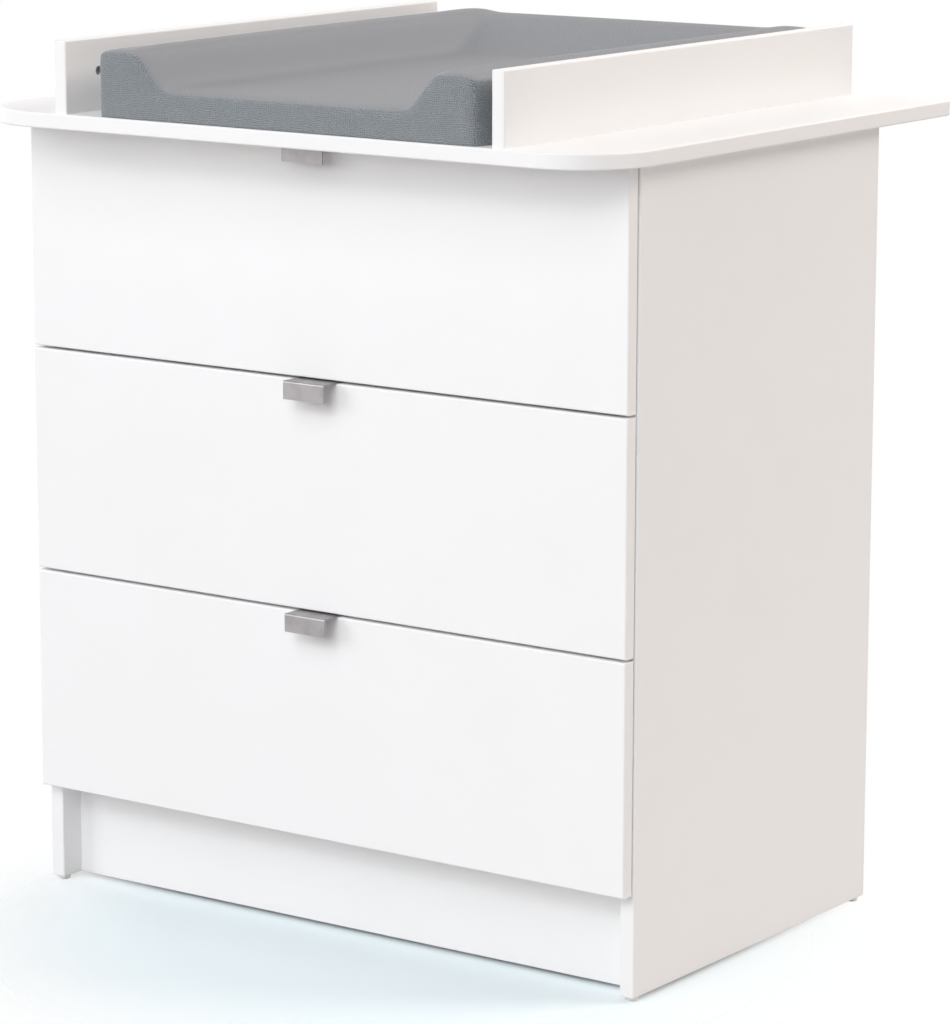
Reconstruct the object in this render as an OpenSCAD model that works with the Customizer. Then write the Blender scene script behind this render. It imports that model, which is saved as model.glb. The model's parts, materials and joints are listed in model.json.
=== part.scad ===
// Changing table: a chest of three drawers on roller runners, with a wide changing top,
// two guard boards and a loose padded mat.
// Frame: X across the front, Y from front to back, Z up. The origin is on the floor, in the
// middle of the changing top's outline. Millimetres.

/* [Carcass] */
// Width across both side panels
carcass_w = 800; // [560:10:1100]
// Depth of the side panels
panel_depth = 475; // [440:5:580]
// Height of the side panels
panel_h = 875; // [760:5:980]
// Thickness of the side panels
side_t = 18; // [16:1:24]
// Thickness of the inner boards: bottom, top rails and plinth
board_t = 16; // [15:1:20]
// Height of the lowest drawer front above the side panels' lower ends
toe_h = 111.5; // [90:0.5:150]
// How far the bottom board's lower face lies below the lowest front
bottom_lip = 3.5; // [2:0.5:8]
// How far the plinth board is set back from the side panels' front edges
plinth_setback = 31; // [20:1:60]
// Depth of the two rails under the changing top
rail_w = 90; // [80:5:120]
// Thickness of the hardboard back
back_t = 3; // [2.5:0.5:5]
// Distance of the hardboard back from the side panels' rear edges
back_inset = 10; // [8:1:16]
// Depth of the groove that holds the hardboard back
back_groove = 6; // [4:0.5:9]
// Rounding of the banded board edges
edge_r = 2; // [0.5:0.5:3]
// Rounding of the side panels' and plinth's lower edges
foot_edge_r = 1; // [0.5:0.5:3]

/* [Glides] */
// Height of the glides under the side panels
glide_h = 5; // [3:0.5:10]
// Diameter of a glide
glide_d = 14; // [12:1:16]
// Distance from a side panel's end to a glide's middle
glide_inset = 11; // [9:1:40]
// Diameter of a glide's nail
glide_pin_d = 2; // [1.5:0.5:3]
// Length of a glide's nail
glide_pin_l = 12; // [8:1:18]

/* [Changing top] */
// Thickness of the changing top
top_t = 17; // [15:1:25]
// Overhang of the top beyond each side panel
side_overhang = 20; // [5:1:60]
// Overhang of the top beyond the side panels' front edges
front_overhang = 94; // [75:1:130]
// Radius of the top's front corners
top_corner_r = 85; // [30:1:120]
// Thickness of a guard board
guard_t = 16; // [15:1:20]
// Height of a guard board
guard_h = 79; // [70:1:110]
// Distance of a guard's ends from the top's front and back edges
guard_end = 2.5; // [0:0.5:10]
// Distance from a guard's end to its bolt
guard_bolt_inset = 55; // [30:1:65]
// Distance between a guard's two dowels
guard_dowel_pitch = 220; // [100:10:300]
// Height of the barrel nuts above the top
guard_nut_h = 43; // [30:1:50]

/* [Changing mat] */
// Width of the mat
mat_w = 500; // [420:1:600]
// Length of the mat
mat_l = 686; // [620:1:740]
// Height of the mat's side bolsters
mat_h = 75; // [60:1:100]
// Thickness of the mat's hollow middle
mat_base = 31; // [20:1:40]
// Height of the mat's raised back end
mat_head_h = 72; // [50:1:74]
// Length of the raised back end's flat top
mat_head_l = 36; // [20:1:80]
// Width of a side bolster's flat top
bolster_w = 49; // [40:1:80]
// Width of a bolster's inner slope
bolster_slope = 42; // [20:1:60]
// Length of the slope down from the raised back end
head_slope = 120; // [60:5:200]
// Gap between the mat and the left guard
mat_left_gap = 42; // [1:1:60]
// Gap between the mat and the right guard
mat_right_gap = 18; // [1:1:40]
// Distance of the mat from the top's front edge
mat_front_gap = 1; // [0:0.5:10]
// Distance of the mat from the top's back edge
mat_back_gap = 3; // [0:0.5:10]
// Radius of the mat's upright corners
mat_corner_r = 10; // [6:1:30]
// Rounding of the mat's upper side edges
mat_edge_r = 10; // [6:1:20]

/* [Drawers] */
// Thickness of a drawer front
front_t = 15; // [15:1:20]
// Gap between the fronts, and above the upper one
reveal = 3; // [2.5:0.5:5]
// Distance of the fronts' ends from the side panels' outer faces
front_inset = 2.5; // [0:0.5:5]
// Gap between a closed front and the side panels
front_gap = 2; // [1:0.5:4]
// Height of a drawer's box above the lower edge of its front
box_lift = 26; // [24:1:34]
// How far a drawer's box stays below the upper edge of its front
box_drop = 45; // [35:1:80]
// Gap between a drawer's box and the hardboard back
box_rear_gap = 18; // [14:1:40]
// Thickness of a drawer's sides and back
box_t = 12; // [12:1:16]
// Thickness of a drawer's hardboard bottom
drawer_bottom_t = 3; // [2.5:0.5:5]
// Depth of the grooves that hold a drawer's bottom
drawer_groove = 6; // [4:0.5:8]
// Height of those grooves above the box's lower edge
groove_lift = 10; // [8:1:16]
// Height of the box's lower fixings above its lower edge
box_fix_low = 45; // [35:1:50]
// Distance of the box's upper fixings from its upper edge
box_fix_high = 35; // [20:1:50]

/* [Lip pulls] */
// Width of a lip pull
pull_w = 54; // [40:1:200]
// How far a lip pull stands out from the drawer front
pull_reach = 23; // [18:1:35]
// Height of a lip pull's front leg, over all
pull_drop = 20; // [14:1:30]
// Thickness of the lip pull's sheet
pull_t = 1.5; // [1:0.1:2]
// Outer radius of the lip pull's bend
pull_bend_r = 2; // [1.8:0.1:3]
// Distance from a lip pull's end to its screw
pull_screw_inset = 12; // [8:1:20]

/* [Roller runners] */
// Width of the gap beside a drawer's box that holds the runners
runner_space = 12.5; // [12:0.1:14]
// Thickness of the runners' sheet steel
runner_t = 1.2; // [1:0.1:1.5]
// Distance of a cabinet runner from the side panel's front edge
runner_setback = 3; // [2:0.5:6]
// Gap between a cabinet runner and the hardboard back
runner_rear_gap = 9; // [4:1:13]
// Gap between a drawer runner and the drawer's front
runner_front_gap = 0.5; // [0:0.5:2]
// Distance of the first runner screw from the runner's front end
runner_screw_front = 30; // [28:1:60]
// Distance of the last runner screw from the runner's rear end
runner_screw_rear = 46; // [30:1:80]
// Diameter of the rollers
roller_d = 20; // [18:1:21]
// Width of the rollers
roller_w = 6.5; // [5:0.5:7]
// Diameter of the rivets that the rollers turn on
rivet_d = 5; // [4:0.5:6]
// Diameter of a rivet's head
rivet_head_d = 8; // [7:0.5:10]
// Clearance between a roller and the track that it runs on
roll_clear = 0.3; // [0.2:0.05:0.5]

/* [Fasteners] */
// Diameter of the cam housings in the carcass
cam_d = 15; // [12:1:15]
// Diameter of the cam housings in the drawer sides
small_cam_d = 12; // [10:1:12]
// Reach of a carcass cam bolt from the panel to its housing's middle
cam_reach = 34; // [24:1:40]
// Reach of a drawer cam bolt
small_cam_reach = 24; // [20:1:30]
// Distance of a carcass cam from the ends of the bottom board
cam_end = 50; // [30:1:80]
// Distance of a rail's cam from the rail's outer edge
rail_cam_end = 30; // [20:1:36]
// Height of the plinth's cams above the plinth's lower edge
plinth_cam_lift = 38; // [20:1:44]
// Distance between a carcass cam and the dowel beside it
dowel_pitch = 32; // [28:1:36]
// Diameter of the wood dowels
dowel_d = 8; // [6:1:8]
// Length of a wood dowel
dowel_l = 30; // [24:1:34]
// Diameter of the barrel nuts in the guards
barrel_d = 10; // [8:1:12]
// Length of a barrel nut
barrel_l = 12; // [10:1:14]
// Diameter of the guard bolts
bolt_d = 6; // [5:1:6]
// Diameter of the wood screws
screw_d = 3.5; // [3:0.5:4]
// Distance of the outer top screws from the side panels
top_screw_inset = 60; // [55:1:120]
// Distance of the outer drawer bottom screws from the drawer's sides
bottom_screw_inset = 140; // [60:5:160]
// Clearance round every fastener in its hole
hole_clear = 0.1; // [0.05:0.05:0.3]

/* [Hidden] */
$fn = 48;
LEVELS = [0, 1, 2];
LEVEL_NAMES = ["lower", "middle", "upper"];

// How far a cutting body runs past the face that it opens
cut = 1;

// Colours
c_board = "#f4f4f5";
c_hardboard = "#efeeec";
c_mat = "#9b9c9f";
c_alu = "#b9babd";
c_steel = "#a9adb2";
c_runner = "#f2f2f0";
c_nylon = "#fbfbf8";
c_zinc = "#8e9196";
c_beech = "#d9b98a";

// Heights
panel_z = glide_h;
panel_top = panel_z + panel_h;
top_z = panel_top;
deck_z = top_z + top_t;
front_h = (panel_h - toe_h - len(LEVELS) * reveal) / len(LEVELS);
bottom_z = panel_z + toe_h - bottom_lip;
function front_z(i) = panel_z + toe_h + i * (front_h + reveal);
function box_z(i) = front_z(i) + box_lift;
box_h = front_h - box_lift - box_drop;

// Depths
top_depth = mat_front_gap + mat_l + mat_back_gap;
deck_front_y = -top_depth / 2;
deck_back_y = top_depth / 2;
panel_y = deck_front_y + front_overhang;
panel_back_y = panel_y + panel_depth;
back_y = panel_back_y - back_inset - back_t;
front_back_y = panel_y - front_gap;
face_y = front_back_y - front_t;
box_back_y = back_y - box_rear_gap;
box_len = box_back_y - front_back_y;
plinth_y = panel_y + plinth_setback;
inner_depth = back_y - panel_y;
rail_back_y = back_y - rail_w;
runner_y = panel_y + runner_setback;
cabinet_runner_l = back_y - runner_rear_gap - runner_y;

// Widths, from the middle to the right
top_w = carcass_w + 2 * side_overhang;
inner_x = carcass_w / 2 - side_t;
front_x = carcass_w / 2 - front_inset;
box_x = inner_x - runner_space;
box_in_x = box_x - box_t;
guard_x = (mat_left_gap + mat_w + mat_right_gap) / 2;
mat_x = guard_x - mat_right_gap - mat_w / 2;
panel_mid_x = carcass_w / 2 - side_t / 2;

// Fits
board_clear = 0.1;
slot_clear = 0.2;
soft_clear = 0.3;
groove_w = back_t + slot_clear;

// Cam fittings
cam_depth = board_t * 0.75 + 0.5;
small_cam_depth = box_t * 0.75;
cam_shank_d = 6;
cam_head_d = 5;
cam_head_l = 2;
cam_neck_d = 3;
cam_neck_l = 5;
cam_taper = 1;
cam_screw_d = 5;
cam_screw_l = 11;
cam_slot = 2;
cam_slot_l = 8;

// Screws
screw_head_d = 2 * screw_d;
screw_head_h = 2;
screw_tip = 3;
screw_point_r = 0.5;
recess_span = 3.6;
recess_foot = 1.8;
recess_depth = 1.4;
recess_w = 0.8;
top_screw_l = board_t + top_t * 0.7;
box_screw_l = box_t + 22;
pull_screw_l = 16;
runner_screw_l = 12;
back_screw_l = 14;

// Runner sections, measured from a drawer box's lower edge
track_z = -2;
track_play = 0.2;
channel_h = roller_d + 2 * roll_clear + track_play;
flange_gap = 0.8;
channel_reach = 9;
drawer_flange_z = track_z + channel_h + runner_t + flange_gap;
drawer_flange_reach = 10.5;
roller_front_play = 1;
roller_rear_play = 2;
channel_front_play = 4;
drawer_roller_z = track_z + roll_clear + roller_d / 2;
cabinet_roller_z = drawer_flange_z - roll_clear - roller_d / 2;
cabinet_roller_y = runner_y + roller_front_play + roller_d / 2;
channel_y = cabinet_roller_y + roller_d / 2 + channel_front_play;
drawer_roller_y = box_back_y - roller_rear_play - roller_d / 2;
rivet_head_t = 1;
rivet_play = 0.15;
bore_play = 0.05;
roller_chamfer = 0.5;
roller_rim = 3;
roller_dish = 0.8;
function runner_screw_y(l) =
    [runner_screw_front, (l + runner_screw_front - runner_screw_rear) / 2, l - runner_screw_rear];

// Guard bolts
bolt_head_d = 14;
bolt_head_t = 2;
bolt_chamfer = 0.5;
hex_key = 4;
nut_slot_w = 1.6;
nut_slot_depth = 1.5;
guard_l = top_depth - 2 * guard_end;
guard_bolt_y = [1, -1] * (guard_l / 2 - guard_bolt_inset);
guard_dowel_y = [1, -1] * guard_dowel_pitch / 2;
guard_dowel_up = dowel_l * 0.66;
barrel_x = guard_x + guard_t / 2;
bolt_tip_z = deck_z + guard_nut_h + barrel_d;

// Cam and dowel places along the depth
bottom_cam_y = [panel_y + cam_end, back_y - cam_end];
bottom_dowel_y = bottom_cam_y + [1, -1] * dowel_pitch;
rail_cam_y = [panel_y + rail_cam_end, back_y - rail_cam_end];
rail_dowel_y = rail_cam_y + [1, -1] * dowel_pitch;
bottom_mid_z = bottom_z + board_t / 2;
rail_mid_z = panel_top - board_t / 2;
plinth_mid_y = plinth_y + board_t / 2;
plinth_cam_z = panel_z + plinth_cam_lift;
plinth_dowel_z = plinth_cam_z + dowel_pitch;
box_fix_z = [box_fix_low, box_h - box_fix_high];
top_screw_x = [-1, 0, 1] * (inner_x - top_screw_inset);
top_screw_y = [panel_y + rail_w / 2, back_y - rail_w / 2];
bottom_screw_x = [-1, 0, 1] * (box_in_x - bottom_screw_inset);

// ---------- Helpers ----------

// A copy on the right and its mirror image on the left
module both_sides() {
    children();
    mirror([1, 0, 0]) children();
}

// The same piece on one chosen side: 1 right, -1 left
module on_side(side) {
    mirror([side < 0 ? 1 : 0, 0, 0]) children();
}

// A board with rounded edges, where its sections seen from above, from the side and from the
// front meet. Each list holds that section's four corner radii: above [front left, front right,
// back left, back right], side [low front, low back, high front, high back] and front
// [low left, low right, high left, high right].
module eased_board(size, above, side, front) {
    intersection() {
        linear_extrude(size[2]) rounded_rect(size[0], size[1], above);
        rotate([90, 0, 90]) linear_extrude(size[0]) rounded_rect(size[1], size[2], side);
        translate([0, size[1], 0]) rotate([90, 0, 0])
            linear_extrude(size[1]) rounded_rect(size[0], size[2], front);
    }
}

// Rectangle from the origin; radii at [x0 y0, x1 y0, x0 y1, x1 y1]
module rounded_rect(w, h, radii) {
    difference() {
        square([w, h]);
        corner_cut(radii[0]);
        translate([w, 0]) mirror([1, 0]) corner_cut(radii[1]);
        translate([0, h]) mirror([0, 1]) corner_cut(radii[2]);
        translate([w, h]) mirror([1, 0]) mirror([0, 1]) corner_cut(radii[3]);
    }
}

// What a rounding of radius r takes off a corner at the origin
module corner_cut(r) {
    if (r > 0) difference() {
        translate([-cut, -cut]) square(r + cut);
        translate([r, r]) circle(r);
    }
}

// A countersunk screw's outer form along -Z, its head's face at the origin, or the hole for it
module screw_form(l, clear = 0) {
    r = screw_d / 2 + clear;
    rotate_extrude() polygon([
        [0, 0], [screw_head_d / 2 + clear, 0], [r, -screw_head_h],
        [r, -l + screw_tip], [screw_point_r, -l - clear], [0, -l - clear]
    ]);
}

// Cross recess that narrows to its foot, in a screw head whose face lies at the origin
module cross_recess() {
    slope = (recess_span - recess_foot) / 2 / recess_depth;
    intersection() {
        translate([0, 0, -recess_depth])
            cylinder(h = recess_depth + cut, d1 = recess_foot, d2 = recess_span + 2 * cut * slope);
        for (turn = [0, 90]) rotate([0, 0, turn])
            translate([-recess_span, -recess_w / 2, -recess_depth - cut])
                cube([2 * recess_span, recess_w, recess_depth + 3 * cut]);
    }
}

module wood_screw(l) {
    difference() {
        screw_form(l);
        cross_recess();
    }
}

// Cam bolt along +X: its screwed end lies in x < 0, its head in the housing at x = reach
module cam_bolt(reach) {
    head_z = reach - cam_head_l / 2;
    neck_z = head_z - cam_taper - cam_neck_l;
    rotate([0, 90, 0]) rotate_extrude() polygon([
        [0, -cam_screw_l], [cam_screw_d / 2, -cam_screw_l], [cam_screw_d / 2, 0],
        [cam_shank_d / 2, 0], [cam_shank_d / 2, neck_z - cam_taper], [cam_neck_d / 2, neck_z],
        [cam_neck_d / 2, neck_z + cam_neck_l], [cam_head_d / 2, head_z],
        [cam_head_d / 2, head_z + cam_head_l], [0, head_z + cam_head_l]
    ]);
}

// Hole for a cam bolt's screwed end, drilled from x = 0 towards -X
module cam_screw_hole() {
    rotate([0, -90, 0]) translate([0, 0, -cut])
        cylinder(h = cam_screw_l + cut + hole_clear, d = cam_screw_d + 2 * hole_clear);
}

// Round cam housing, mouth in the plane z = 0 and body below it; the bolt comes in along X
module cam_housing(d, depth, bolt_z) {
    difference() {
        translate([0, 0, -depth]) cylinder(h = depth, d = d);
        translate([-cam_slot_l / 2, -cam_slot / 2, -cam_slot])
            cube([cam_slot_l, cam_slot, cam_slot + cut]);
        translate([-d, 0, bolt_z]) rotate([0, 90, 0])
            cylinder(h = d + cam_head_d / 2 + cut, d = cam_shank_d + 2 * hole_clear);
    }
}

// Pocket for a housing, and the tunnel that its bolt comes through
module cam_pocket(d, depth, bolt_z, reach) {
    translate([0, 0, -depth - hole_clear])
        cylinder(h = depth + hole_clear + cut, d = d + 2 * hole_clear);
    translate([-reach - cut, 0, bolt_z]) rotate([0, 90, 0])
        cylinder(h = reach + cut, d = cam_shank_d + 2 * hole_clear);
}

// Wood dowel with chamfered ends, its middle at the origin, along X
module dowel(l = dowel_l, clear = 0) {
    chamfer = clear > 0 ? 0 : 1;
    r = dowel_d / 2 + clear;
    h = l / 2 + clear;
    rotate([0, 90, 0]) rotate_extrude() polygon([
        [0, -h], [r - chamfer, -h], [r, -h + chamfer], [r, h - chamfer], [r - chamfer, h], [0, h]
    ]);
}

// ---------- Places of the carcass fittings, right-hand side ----------

// Housings look down in the bottom board and the rails, and back in the plinth
module at_carcass_cams() {
    x = inner_x - cam_reach;
    for (y = bottom_cam_y) translate([x, y, bottom_z]) rotate([180, 0, 180]) children();
    for (y = rail_cam_y) translate([x, y, panel_top - board_t]) rotate([180, 0, 180]) children();
    translate([x, plinth_y + board_t, plinth_cam_z]) rotate([-90, 180, 0]) children();
}

// Where cam bolts enter the right-hand side panel, pointing inwards
module at_carcass_bolts() {
    for (y = bottom_cam_y) translate([inner_x, y, bottom_mid_z]) rotate([0, 0, 180]) children();
    for (y = rail_cam_y) translate([inner_x, y, rail_mid_z]) rotate([0, 0, 180]) children();
    translate([inner_x, plinth_mid_y, plinth_cam_z]) rotate([0, 0, 180]) children();
}

// Dowels are sunk a third in the side panel and two thirds in the board
module at_carcass_dowels() {
    x = inner_x - dowel_l / 6;
    for (y = bottom_dowel_y) translate([x, y, bottom_mid_z]) children();
    for (y = rail_dowel_y) translate([x, y, rail_mid_z]) children();
    translate([x, plinth_mid_y, plinth_dowel_z]) children();
}

module at_guard_dowels() {
    for (y = guard_dowel_y) translate([barrel_x, y, deck_z + guard_dowel_up - dowel_l / 2])
        rotate([0, 90, 0]) children();
}

module at_guard_bolts() {
    for (y = guard_bolt_y) translate([barrel_x, y, 0]) children();
}

module at_top_screws() {
    for (x = top_screw_x, y = top_screw_y)
        translate([x, y, panel_top - board_t]) mirror([0, 0, 1]) children();
}

module at_cabinet_screws(i) {
    z = box_z(i) + track_z + channel_h / 2;
    for (y = runner_screw_y(cabinet_runner_l)) translate([inner_x - runner_t, runner_y + y, z])
        rotate([0, -90, 0]) children();
}

module at_glides() {
    for (y = [panel_y + glide_inset, panel_back_y - glide_inset]) translate([panel_mid_x, y, 0]) children();
}

module carcass_drilling() {
    at_carcass_cams() cam_pocket(cam_d, cam_depth, -board_t / 2, cam_reach);
    at_carcass_dowels() dowel(clear = hole_clear);
    at_top_screws() screw_form(top_screw_l, hole_clear);
}

// ---------- Carcass ----------

module side_panel(side) {
    color(c_board) on_side(side) difference() {
        translate([inner_x, panel_y, panel_z]) eased_board([side_t, panel_depth, panel_h],
            above = [edge_r, edge_r, 0, 0], side = [foot_edge_r, foot_edge_r, 0, 0],
            front = [foot_edge_r, foot_edge_r, 0, 0]);
        translate([inner_x - cut, back_y - slot_clear / 2, bottom_z - slot_clear])
            cube([back_groove + cut + slot_clear, groove_w, panel_h]);
        at_carcass_bolts() cam_screw_hole();
        at_carcass_dowels() dowel(clear = hole_clear);
        for (i = LEVELS) at_cabinet_screws(i) screw_form(runner_screw_l, hole_clear);
        at_glides() translate([0, 0, panel_z - cut])
            cylinder(h = glide_pin_l + cut + hole_clear, d = glide_pin_d + 2 * hole_clear);
    }
}

module bottom_panel() {
    color(c_board) difference() {
        translate([-inner_x, panel_y, bottom_z]) cube([2 * inner_x, inner_depth, board_t]);
        both_sides() carcass_drilling();
    }
}

module top_rail(y) {
    color(c_board) difference() {
        translate([-inner_x, y, panel_top - board_t]) cube([2 * inner_x, rail_w, board_t]);
        both_sides() carcass_drilling();
    }
}

module back_panel() {
    w = inner_x + back_groove;
    color(c_hardboard) translate([-w, back_y, bottom_z])
        cube([2 * w, back_t, panel_top - bottom_z - board_clear]);
}

module plinth_board() {
    color(c_board) difference() {
        translate([-inner_x, plinth_y, panel_z]) eased_board([2 * inner_x, board_t, bottom_z - panel_z],
            above = [0, 0, 0, 0], side = [foot_edge_r, foot_edge_r, 0, 0], front = [0, 0, 0, 0]);
        both_sides() carcass_drilling();
    }
}

// Nail-on glide: a chamfered disc with a nail that goes up into the panel's end
module glides() {
    chamfer = 1;
    point = 2;
    r = glide_d / 2;
    pin_r = glide_pin_d / 2;
    color(c_nylon) both_sides() at_glides() rotate_extrude() polygon([
        [0, 0], [r - chamfer, 0], [r, chamfer], [r, glide_h], [pin_r, glide_h],
        [pin_r, glide_h + glide_pin_l - point], [0, glide_h + glide_pin_l]
    ]);
}

module cam_fittings() {
    color(c_zinc) both_sides() {
        at_carcass_cams() cam_housing(cam_d, cam_depth, -board_t / 2);
        at_carcass_bolts() cam_bolt(cam_reach);
    }
}

module wood_dowels() {
    color(c_beech) both_sides() {
        at_carcass_dowels() dowel();
        at_guard_dowels() dowel();
    }
}

module runner_screws() {
    color(c_steel) both_sides() for (i = LEVELS) at_cabinet_screws(i) wood_screw(runner_screw_l);
}

module top_screws() {
    color(c_steel) at_top_screws() wood_screw(top_screw_l);
}

// ---------- Changing top, guards and mat ----------

// What rounding the edge of a board takes away, as a section: x outwards, y up
module edge_section() {
    difference() {
        translate([-edge_r, -edge_r]) square(edge_r + cut);
        translate([-edge_r, -edge_r]) circle(edge_r);
    }
}

// The rounding of one face's rim: three straight edges, the back edge and two round corners
module rim_cut() {
    r = top_corner_r;
    side_l = top_depth - r;
    for (side = [1, -1]) on_side(side) {
        translate([top_w / 2, deck_back_y + cut, 0]) rotate([90, 0, 0])
            linear_extrude(side_l + cut) edge_section();
        translate([top_w / 2 - r, deck_front_y + r, 0]) rotate([0, 0, -90])
            rotate_extrude(angle = 90) translate([r, 0]) edge_section();
    }
    translate([-top_w / 2 + r, deck_front_y, 0]) rotate([90, 0, 90])
        linear_extrude(top_w - 2 * r) mirror([1, 0]) edge_section();
    translate([-top_w / 2 - cut, deck_back_y, 0]) rotate([90, 0, 90])
        linear_extrude(top_w + 2 * cut) edge_section();
}

module changing_top() {
    r = top_corner_r;
    color(c_board) difference() {
        translate([-top_w / 2, deck_front_y, top_z]) linear_extrude(top_t)
            rounded_rect(top_w, top_depth, [r, r, 0, 0]);
        translate([0, 0, deck_z]) rim_cut();
        translate([0, 0, top_z]) mirror([0, 0, 1]) rim_cut();
        at_top_screws() screw_form(top_screw_l, hole_clear);
        both_sides() at_guard_dowels() dowel(clear = hole_clear);
        both_sides() at_guard_bolts() translate([0, 0, top_z - cut])
            cylinder(h = top_t + 2 * cut, d = bolt_d + 2 * hole_clear);
    }
}

// Guard board with blind holes for its barrel nuts and bolts
module guard(side) {
    color(c_board) on_side(side) difference() {
        translate([guard_x, -guard_l / 2, deck_z]) eased_board([guard_t, guard_l, guard_h],
            above = [1, 1, 1, 1] * edge_r, side = [0, 0, 1, 1] * edge_r, front = [0, 0, 1, 1] * edge_r);
        at_guard_dowels() dowel(clear = hole_clear);
        at_guard_bolts() {
            translate([0, 0, deck_z - cut])
                cylinder(h = bolt_tip_z - deck_z + 2 * cut, d = bolt_d + 2 * hole_clear);
            translate([-guard_t / 2 - cut, 0, deck_z + guard_nut_h]) rotate([0, 90, 0])
                cylinder(h = guard_t / 2 + barrel_l / 2 + cut + hole_clear, d = barrel_d + 2 * hole_clear);
        }
    }
}

// Furniture bolt: a flat head with a hexagon socket under the top
module guard_bolts() {
    l = bolt_tip_z - top_z;
    r = bolt_d / 2;
    head_r = bolt_head_d / 2;
    color(c_steel) both_sides() at_guard_bolts() translate([0, 0, top_z]) difference() {
        rotate_extrude() polygon([
            [0, -bolt_head_t], [head_r - bolt_chamfer, -bolt_head_t], [head_r, -bolt_head_t + bolt_chamfer],
            [head_r, 0], [r, 0], [r, l - bolt_chamfer], [r - bolt_chamfer, l], [0, l]
        ]);
        translate([0, 0, -bolt_head_t - cut]) cylinder(h = bolt_head_t + 2 * cut, d = hex_key, $fn = 6);
    }
}

// Barrel nut: a steel pin across the guard with a cross hole for the bolt and a screwdriver slot
module barrel_nuts() {
    color(c_zinc) both_sides() at_guard_bolts() translate([0, 0, deck_z + guard_nut_h]) difference() {
        translate([-barrel_l / 2, 0, 0]) rotate([0, 90, 0]) cylinder(h = barrel_l, d = barrel_d);
        translate([0, 0, -barrel_d]) cylinder(h = 2 * barrel_d, d = bolt_d + 2 * hole_clear);
        translate([-barrel_l / 2 - cut, -barrel_d, -nut_slot_w / 2])
            cube([nut_slot_depth + cut, 2 * barrel_d, nut_slot_w]);
    }
}

// Across the mat: bolsters with rounded outer edges beside a hollow middle
module mat_section() {
    hollow = mat_w / 2 - bolster_w;
    difference() {
        translate([-mat_w / 2, 0]) rounded_rect(mat_w, mat_h, [0, 0, mat_edge_r, mat_edge_r]);
        polygon([
            [-hollow, mat_h + cut], [-hollow, mat_h], [-hollow + bolster_slope, mat_base],
            [hollow - bolster_slope, mat_base], [hollow, mat_h], [hollow, mat_h + cut]
        ]);
    }
}

// Along the mat: the raised back end with its long slope, from one bolster's middle to the other's
module mat_head() {
    head_y = mat_l - mat_head_l;
    slope_y = head_y - head_slope;
    translate([-mat_w / 2 + bolster_w / 2, 0, 0]) rotate([90, 0, 90])
        linear_extrude(mat_w - bolster_w) polygon([
            [slope_y, 0], [mat_l, 0], [mat_l, mat_head_h], [head_y, mat_head_h], [slope_y, mat_base]
        ]);
}

module changing_mat() {
    r = mat_corner_r;
    color(c_mat) translate([mat_x, deck_front_y + mat_front_gap, deck_z + soft_clear]) intersection() {
        union() {
            translate([0, mat_l, 0]) rotate([90, 0, 0]) linear_extrude(mat_l) mat_section();
            mat_head();
        }
        translate([-mat_w / 2, 0, 0]) linear_extrude(mat_h + cut)
            rounded_rect(mat_w, mat_l, [r, r, r, r]);
    }
}

// ---------- Drawers ----------

module at_drawer_cams(i) {
    for (z = box_fix_z) translate([box_in_x, front_back_y + small_cam_reach, box_z(i) + z])
        rotate([0, -90, 0]) rotate([0, 0, 90]) children();
}

module at_drawer_bolts(i) {
    for (z = box_fix_z) translate([box_x - box_t / 2, front_back_y, box_z(i) + z])
        rotate([0, 0, 90]) children();
}

module at_pull_screws(i) {
    for (side = [1, -1]) translate([side * (pull_w / 2 - pull_screw_inset), face_y + front_t / 2,
        front_z(i) + front_h + pull_t]) children();
}

// Screws through the sides into the drawer back
module at_back_screws(i) {
    for (z = box_fix_z) translate([box_x, box_back_y - box_t / 2, box_z(i) + z])
        rotate([0, 90, 0]) children();
}

// Screws up through the drawer bottom into the drawer back
module at_bottom_screws(i) {
    for (x = bottom_screw_x) translate([x, box_back_y - box_t / 2, box_z(i) + groove_lift])
        mirror([0, 0, 1]) children();
}

module at_drawer_runner_screws(i) {
    for (y = runner_screw_y(box_len)) translate([box_x + runner_t, front_back_y + y,
        box_z(i) + groove_lift / 2]) rotate([0, 90, 0]) children();
}

module bottom_groove(i, clear = slot_clear) {
    w = box_in_x + drawer_groove + clear;
    translate([-w, front_back_y - drawer_groove - clear, box_z(i) + groove_lift])
        cube([2 * w, box_len + drawer_groove + 2 * clear + cut, drawer_bottom_t + clear]);
}

module drawer_front(i) {
    color(c_board) difference() {
        translate([-front_x, face_y, front_z(i)]) eased_board([2 * front_x, front_t, front_h],
            above = [1, 1, 0, 0] * edge_r, side = [1, 0, 1, 0] * edge_r, front = [0, 0, 0, 0]);
        bottom_groove(i);
        both_sides() at_drawer_bolts(i) cam_screw_hole();
        at_pull_screws(i) screw_form(pull_screw_l, hole_clear);
    }
}

module drawer_side(i, side) {
    color(c_board) on_side(side) difference() {
        translate([box_in_x, front_back_y, box_z(i)]) cube([box_t, box_len, box_h]);
        bottom_groove(i);
        at_drawer_cams(i) cam_pocket(small_cam_d, small_cam_depth, -box_t / 2, small_cam_reach);
        at_back_screws(i) screw_form(box_screw_l, hole_clear);
        at_drawer_runner_screws(i) screw_form(runner_screw_l, hole_clear);
    }
}

module drawer_back(i) {
    z = groove_lift + drawer_bottom_t + board_clear;
    color(c_board) difference() {
        translate([-box_in_x, box_back_y - box_t, box_z(i) + z]) cube([2 * box_in_x, box_t, box_h - z]);
        both_sides() at_back_screws(i) screw_form(box_screw_l, hole_clear);
        at_bottom_screws(i) screw_form(back_screw_l, hole_clear);
    }
}

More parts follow.
